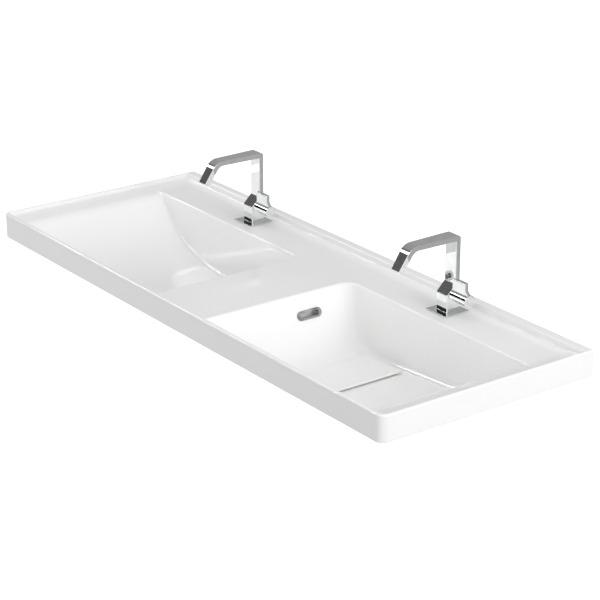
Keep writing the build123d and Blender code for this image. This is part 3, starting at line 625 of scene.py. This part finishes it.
body_outline = [(-HALF_DEPTH, 0), (HALF_DEPTH, 0), (HALF_DEPTH, SEAT), (COLUMN_FRONT, SEAT),
                (-HALF_DEPTH, SLOPE_FOOT)]
body = extruded("tap_body_master", body_outline, -HALF_WIDTH, HALF_WIDTH)
bevel_where(body, 1.8, 5, lambda a, b: upright(a, b) and a.y < 1 - HALF_DEPTH)
soften(body, 0.6)
carve(body, bar("cartridge_cutter", CARTRIDGE_RADIUS, -9, 16, "X", (0, HUB_Z)))
for x in (-INLET_X, INLET_X):
    carve(body, bar("inlet_cutter", INLET_RADIUS, -1, BORE_DEPTH, "Z", (x, INLET_Y), 32))
carve(body, bar("stud_cutter", STUD_RADIUS, -1, BORE_DEPTH, "Z", (0, STUD_Y), 32))
finish_master(body, chrome)

# The spout's side outline: up the column, along the arm, down the tip, across the mouth and back.
tip_y, tip_z = -cos(TIP_ANGLE), -sin(TIP_ANGLE)
end_y, end_z = BEND_Y + tip_y * TIP_LENGTH, ARM_TOP + tip_z * TIP_LENGTH
cut_back = TIP_THICK * tan(MOUTH_CUT)
inner_y = end_y - tip_z * TIP_THICK - tip_y * cut_back
inner_z = end_z + tip_y * TIP_THICK - tip_z * cut_back
under_bend = inner_y + (ARM_UNDER - inner_z) / tan(TIP_ANGLE)
profile = rounded([((HALF_DEPTH, SEAT), 0), ((HALF_DEPTH, ARM_TOP), 4.5), ((BEND_Y, ARM_TOP), OUTER_BEND),
                   ((end_y, end_z), 0), ((inner_y, inner_z), 0), ((under_bend, ARM_UNDER), INNER_BEND),
                   ((COLUMN_FRONT, ARM_UNDER), 2.0), ((COLUMN_FRONT, SEAT), 0)], 5)
spout = extruded("spout_master", profile, -HALF_WIDTH, HALF_WIDTH)
edges_where(spout, lambda a, b: True)
for cut_y in (COLUMN_FRONT - 2.0, BEND_Y):
    bpy.ops.mesh.select_all(action="SELECT")
    bpy.ops.mesh.bisect(plane_co=(0, cut_y * MM, 0), plane_no=(0, 1, 0))
bpy.ops.object.mode_set(mode="OBJECT")
for vertex in spout.data.vertices:
    width = np.interp(vertex.co.y / MM, (end_y, BEND_Y, COLUMN_FRONT - 2.0),
                      (TIP_WIDTH, BEND_WIDTH, 2 * HALF_WIDTH))
    vertex.co.x *= width / (2 * HALF_WIDTH)
soften(spout, 1.1, 4)
mouth = block("mouth_cutter", (0, 0, 0), MOUTH)
mouth.rotation_euler = (TIP_ANGLE - pi / 2, 0, 0)
mouth.location = Vector((0, (end_y + inner_y) / 2, (end_z + inner_z) / 2)) * MM
carve(spout, settle(mouth))
finish_master(spout, chrome)

# The lever: a round hub with a fine groove, and a flat blade that stands up from it.
handle = bar("handle_master", HUB_RADIUS, HUB_START, HUB_END, "X", (0, HUB_Z), 96)
soften(handle, 0.8)
edges_where(handle, lambda a, b: True)
for cut_x in (GROOVE, GROOVE + 0.15, GROOVE + 0.65, GROOVE + 0.8):
    bpy.ops.mesh.select_all(action="SELECT")
    bpy.ops.mesh.bisect(plane_co=(cut_x * MM, 0, 0), plane_no=(1, 0, 0))
bpy.ops.object.mode_set(mode="OBJECT")
for vertex in handle.data.vertices:
    if GROOVE + 0.1 < vertex.co.x / MM < GROOVE + 0.7:
        vertex.co.y *= 1 - GROOVE_DEPTH / HUB_RADIUS
        vertex.co.z = HUB_Z * MM + (vertex.co.z - HUB_Z * MM) * (1 - GROOVE_DEPTH / HUB_RADIUS)
blade_outline = rounded([((16.4, 30), 0), ((16.4, BLADE_TOP), 0), ((50.4, BLADE_TOP), 0), ((50.4, 49.5), 3.0),
                         ((57.6, 42.3), 0.8), ((57.6, 30), 0)], 10)
blade = extruded("blade", blade_outline, BLADE_BACK, BLADE_FRONT, (0, 0, -pi / 2))
bevel_where(blade, 2.0, 1, lambda a, b: max(a.y, b.y) < -2 and min(a.z, b.z) > BLADE_TOP - 0.1)
soften(blade, 0.7)
carve(handle, blade, "UNION")
# The spindle's bore, the screw's hole and its head's recess, and the plug's seat at the end.
for radius, start, depth in ((3.0, HUB_START - 1, 25.0), (1.6, HUB_START, 45.0), (3.2, HUB_END - 6, 45.0),
                             (6.0, HUB_END - 3, 45.0)):
    carve(handle, bar("bore_cutter", radius, start, start + depth, "X", (0, HUB_Z)))
finish_master(handle, chrome, 35)

unturned = (0, 0, 0)
for side, sign in SIDES:
    tap_place = (sign * TAP_X, TAP_Y, PLATE_TOP)
    put(plate, f"base_plate_{side}", tap_place, unturned, "basin", f"tap_plate_{side}")
    put(body, f"tap_block_{side}", tap_place, unturned, "basin", f"tap_body_{side}")
    put(spout, f"flat_spout_{side}", tap_place, unturned, "basin", f"spout_{side}")
    put(handle, f"lever_{side}", tap_place, unturned, f"tap_handle_{side}", f"handle_{side}")
for master in (plate, body, spout, handle):
    bpy.data.objects.remove(master)


# The overflow rings. A chrome plated oval ring is pushed into the slot in each bowl's centre wall. It is one
# pressed piece with a soft outer edge and a sleeve that reaches into the clay.
RING = (54, 18)
RING_BACK, RING_FRONT = -0.5, 1.6
SLEEVE = (43.6, 11.6)
RING_MOUTH = (40.8, 8.8)


def stadium(length, height, steps=16):
    """An oval outline with straight sides, the long way along Y."""
    reach, radius = (length - height) / 2, height / 2
    turns = [pi * i / steps for i in range(steps + 1)]
    right = [(reach + radius * sin(t), radius * cos(t)) for t in turns]
    return right + [(-y, -z) for y, z in right]


# The ring's base colour is set far darker than the chrome's. That paints in the darker reflections it shows,
# so it is painted shade. Its polish is a little rougher.
chrome_painted_darker = plated("chrome_with_painted_shade", (0.44, 0.45, 0.45), 0.08)
ring_piece = extruded("overflow_ring_master", stadium(*RING), RING_BACK, RING_FRONT)
bevel_where(ring_piece, 0.8, 4, lambda a, b: min(a.x, b.x) > RING_FRONT - 0.1)
carve(ring_piece, extruded("sleeve", stadium(*SLEEVE), -7.0, 0.4), "UNION")
carve(ring_piece, extruded("mouth", stadium(*RING_MOUTH), -9.0, 3.0))
bevel_where(ring_piece, 0.5, 3, lambda a, b: min(a.x, b.x) > RING_FRONT - 0.1
            and max(abs(a.y), abs(b.y)) < RING_MOUTH[0] / 2 + 0.1
            and max(abs(a.z), abs(b.z)) < RING_MOUTH[1] / 2 + 0.1)
finish_master(ring_piece, chrome_painted_darker)
for side, sign in SIDES:
    place = (sign * OVERFLOW[0], OVERFLOW[1], OVERFLOW[2])
    turn = (0, -CENTRE_LEAN, 0 if sign > 0 else pi)
    put(ring_piece, f"oval_ring_{side}", place, turn, "basin", f"overflow_ring_{side}")
bpy.data.objects.remove(ring_piece)


# The fittings that come from the CAD as they are. Their shapes are right, so each gets only its material: the
# glazed covers, rubber seals and pads, grey plastic nuts, brass cartridges, and zinc plated steel fixings.
WASTE_PITCH, STUD_PITCH = 2.3, 1.0


def moulded(name, dark, light, roughness, grain):
    """A rubber or plastic with a fine grain."""
    material, shader, add, links = new_material(name)
    spot = add("ShaderNodeTexCoord").outputs["Object"]
    speckle = add("ShaderNodeTexNoise", {"Vector": spot, "Scale": grain, "Detail": 4.0})
    tint = ramp(add, speckle.outputs["Fac"], ((0.3, dark), (0.7, light)))
    links.new(tint.outputs["Color"], shader.inputs["Base Color"])
    skin = add("ShaderNodeBump", {"Height": speckle.outputs["Fac"], "Strength": 0.15, "Distance": 0.0002})
    links.new(skin.outputs["Normal"], shader.inputs["Normal"])
    shader.inputs["Roughness"].default_value = roughness
    return material


def threaded(material, pitch):
    """Cut fine rings round a metal, the way a screw thread looks from a step away."""
    tree = material.node_tree
    coordinates = tree.nodes.new("ShaderNodeTexCoord")
    rings = tree.nodes.new("ShaderNodeTexWave")
    rings.bands_direction = "Z"
    rings.inputs["Scale"].default_value = pi / 10 / (pitch * MM)
    rings.inputs["Distortion"].default_value = 0.0
    groove = tree.nodes.new("ShaderNodeBump")
    groove.inputs["Strength"].default_value = 0.9
    groove.inputs["Distance"].default_value = pitch * MM / 3
    tree.links.new(coordinates.outputs["Object"], rings.inputs["Vector"])
    tree.links.new(rings.outputs["Fac"], groove.inputs["Height"])
    tree.links.new(groove.outputs["Normal"], tree.nodes["Principled BSDF"].inputs["Normal"])
    return material


def dress(node, material):
    """Give a CAD node its material in every slot."""
    slots = frame["nodes"][node].material_slots
    if not slots:
        frame["nodes"][node].data.materials.append(material)
    for slot in slots:
        slot.material = material


rubber = moulded("black_rubber", (0.018, 0.018, 0.019), (0.035, 0.035, 0.036), 0.7, 400.0)
plastic = moulded("grey_plastic", (0.20, 0.205, 0.21), (0.25, 0.255, 0.26), 0.45, 250.0)
brass = plated("brass", (0.80, 0.62, 0.36), 0.22, 0.1)
steel = plated("zinc_plated_steel", (0.60, 0.60, 0.60), 0.28, 0.12)
waste_chrome = threaded(plated("threaded_chrome", (0.72, 0.73, 0.74), 0.08), WASTE_PITCH)
stud_steel = threaded(plated("threaded_steel", (0.58, 0.58, 0.57), 0.3, 0.1), STUD_PITCH)
MATERIAL_OF = {
    "drain_cover": glaze, "cover_pads": rubber, "strainer": chrome, "waste_body": waste_chrome,
    "waste_seal": rubber, "waste_gasket": rubber, "waste_nut": plastic,
    "tap_seal": rubber, "aerator": plastic, "cartridge": brass, "cartridge_nut": brass, "spindle": brass,
    "handle_screw": steel, "handle_plug": chrome, "mounting_stud": stud_steel,
    "rubber_washer": rubber, "steel_washer": steel, "stud_nut": steel,
}
for node, material in MATERIAL_OF.items():
    for side, _ in SIDES:
        dress(f"{node}_{side}", material)


# The room. A pale floor far below the basin, as under any washbasin that hangs on a wall, broad lamps on the
# right, above, in front and on the left, and a camera at the photograph's angle.
FLOOR_HEIGHT = -0.82
ROOM_MIDDLE = (0, -0.2, 0)
deselect_all()
bpy.ops.mesh.primitive_plane_add(size=14, location=(0, 0, FLOOR_HEIGHT))
floor = name_piece("floor")
paper, shader, add, links = new_material("pale_floor")
spot = add("ShaderNodeTexCoord").outputs["Object"]
grain = add("ShaderNodeTexNoise", {"Vector": spot, "Scale": 3.0})
paper_tone = ramp(add, grain.outputs["Fac"], ((0.3, (0.80, 0.80, 0.80)), (0.7, (0.82, 0.82, 0.82))))
# The camera sees white paper. Other rays meet a darker floor, and a camera below it looks through it.
seen = add("ShaderNodeLightPath")
bounce = add("ShaderNodeMix", {"Factor": seen.outputs["Is Camera Ray"], 6: (0.3, 0.3, 0.3, 1),
                               7: paper_tone.outputs["Color"]}, data_type="RGBA")
links.new(bounce.outputs[2], shader.inputs["Base Color"])
links.new(paper_tone.outputs["Color"], shader.inputs["Emission Color"])
glow = add("ShaderNodeMapRange", {"Value": seen.outputs["Is Camera Ray"], "To Min": 0.0, "To Max": 0.9})
links.new(glow.outputs["Result"], shader.inputs["Emission Strength"])
shader.inputs["Roughness"].default_value = 0.9
facing = add("ShaderNodeNewGeometry").outputs["Backfacing"]
clear = add("ShaderNodeBsdfTransparent").outputs[0]
from_below = add("ShaderNodeMixShader", {0: facing, 1: shader.outputs[0], 2: clear})
links.new(from_below.outputs[0], paper.node_tree.nodes["Material Output"].inputs["Surface"])
floor.data.materials.append(paper)
floor.visible_glossy = False


def lamp(name, place, sizes, watts):
    """A rectangular lamp that looks at the basin, in metres and watts. Nothing mirrors it."""
    light = bpy.data.lights.new(name, "AREA")
    light.shape = "RECTANGLE"
    light.size, light.size_y = sizes
    light.energy = watts
    light.specular_factor = 0.0
    holder = bpy.data.objects.new(name, light)
    holder.location = place
    holder.rotation_euler = (Vector(ROOM_MIDDLE) - Vector(place)).to_track_quat("-Z", "Y").to_euler()
    holder.visible_glossy = False
    bpy.context.scene.collection.objects.link(holder)
    return holder


lamp("side_lamp", (3.2, 0.1, 0.95), (1.8, 1.8), 56)
lamp("top_lamp", (0.1, -0.6, 3.0), (2.4, 2.4), 14)
lamp("front_lamp", (-0.6, -3.4, 0.5), (2.4, 1.6), 16)
lamp("left_lamp", (-3.2, -0.6, 1.2), (1.8, 1.8), 13)

# The glaze alone mirrors two narrow lamps, which leave thin white lines along its rounded edges.
glazed = bpy.data.collections.new("glazed_pieces")
for piece in (clay, frame["nodes"]["drain_cover_left"], frame["nodes"]["drain_cover_right"]):
    glazed.objects.link(piece)
for name, place in (("front_strip", (-2.2, -1.7, 1.9)), ("back_strip", (0.2, 2.6, 1.6))):
    strip = lamp(name, place, (3.4, 0.25), 52)
    strip.data.specular_factor = 1.0
    strip.visible_glossy = True
    strip.visible_diffuse = strip.visible_transmission = strip.visible_camera = False
    strip.light_linking.receiver_collection = glazed

# What polished pieces mirror is set by direction. To the left, from behind over the top to the front: grey,
# a dark beam, a bright window, a black wall and pale paper. To the right: pale in front and grey behind.
world = bpy.data.worlds.new("room")
bpy.context.scene.world = world
world.use_nodes = True
tree = world.node_tree
tree.nodes.clear()


def world_node(kind, inputs=None, **settings):
    """A node of the world, with its sockets set or linked."""
    node = tree.nodes.new(kind)
    for key, value in settings.items():
        setattr(node, key, value)
    for key, value in (inputs or {}).items():
        if isinstance(value, bpy.types.NodeSocket):
            tree.links.new(value, node.inputs[key])
        else:
            node.inputs[key].default_value = value
    return node


def greys(factor, stops):
    """A ramp of greys over the world's directions."""
    node = world_node("ShaderNodeValToRGB", {"Fac": factor})
    while len(node.color_ramp.elements) < len(stops):
        node.color_ramp.elements.new(0.5)
    for element, (position, grey) in zip(node.color_ramp.elements, stops):
        element.position = position
        element.color = (grey, grey, grey, 1)
    return node.outputs["Color"]


way = world_node("ShaderNodeSeparateXYZ", {"Vector": world_node("ShaderNodeTexCoord").outputs["Generated"]})
forward = world_node("ShaderNodeMath", {0: way.outputs["Y"], 1: -1.0}, operation="MULTIPLY")
around = world_node("ShaderNodeMath", {0: forward.outputs[0], 1: way.outputs["Z"]}, operation="ARCTAN2")
part_turn = world_node("ShaderNodeMapRange", {"Value": around.outputs[0], "From Min": -pi, "From Max": pi})


def at(degrees):
    """Where a direction, turned from straight up towards the front, lies on the ramp."""
    return (degrees + 180) / 360


left_greys = greys(part_turn.outputs["Result"], (
    (at(-180), 0.12), (at(-115), 0.16), (at(-90), 0.09), (at(17), 0.071), (at(25), 0.027), (at(33), 0.027),
    (at(35), 1.0), (at(48.5), 1.0), (at(50), 0.025), (at(55), 0.025), (at(59), 0.003), (at(97), 0.003),
    (at(104), 0.3), (at(125), 0.33), (at(142), 0.33), (at(165), 0.14), (at(180), 0.12)))
right_place = world_node("ShaderNodeMapRange", {"Value": way.outputs["Y"], "From Min": -1.0, "From Max": 1.0})
right_greys = greys(right_place.outputs["Result"], ((0.0, 0.33), (0.3, 0.33), (0.42, 0.14), (1.0, 0.08)))
on_right = world_node("ShaderNodeMapRange", {"Value": way.outputs["X"], "From Min": -0.25, "From Max": 0.25})
mirrored = world_node("ShaderNodeMix", {"Factor": on_right.outputs["Result"], 6: left_greys, 7: right_greys},
                      data_type="RGBA")
rays = world_node("ShaderNodeLightPath")
soft = world_node("ShaderNodeBackground", {"Color": (1, 1, 1, 1), "Strength": 0.58})
polished = world_node("ShaderNodeBackground", {"Color": mirrored.outputs[2], "Strength": 4.0})
white = world_node("ShaderNodeBackground", {"Color": (1, 1, 1, 1), "Strength": 1.0})
lit = world_node("ShaderNodeMixShader", {0: rays.outputs["Is Glossy Ray"], 1: soft.outputs[0],
                                         2: polished.outputs[0]})
choose = world_node("ShaderNodeMixShader", {0: rays.outputs["Is Camera Ray"], 1: lit.outputs[0],
                                            2: white.outputs[0]})
world_node("ShaderNodeOutputWorld", {"Surface": choose.outputs[0]})
bpy.context.scene.view_settings.view_transform = "Standard"

# The camera stands where the tray's corners, its rims and both taps fall on their places in the photograph.
lens = bpy.data.cameras.new("camera")
lens.lens = 125.75
lens.sensor_width = 36
lens.clip_end = 60
camera = bpy.data.objects.new("camera", lens)
bpy.context.scene.collection.objects.link(camera)
turn, lift = radians(53.64), radians(21.43)
back = Vector((sin(turn) * cos(lift), -cos(turn) * cos(lift), sin(lift)))
camera.location = Vector((2893.53, -2296.61, 1383.18)) * MM
camera.rotation_euler = (-back).to_track_quat("-Z", "Y").to_euler()
bpy.context.scene.camera = camera
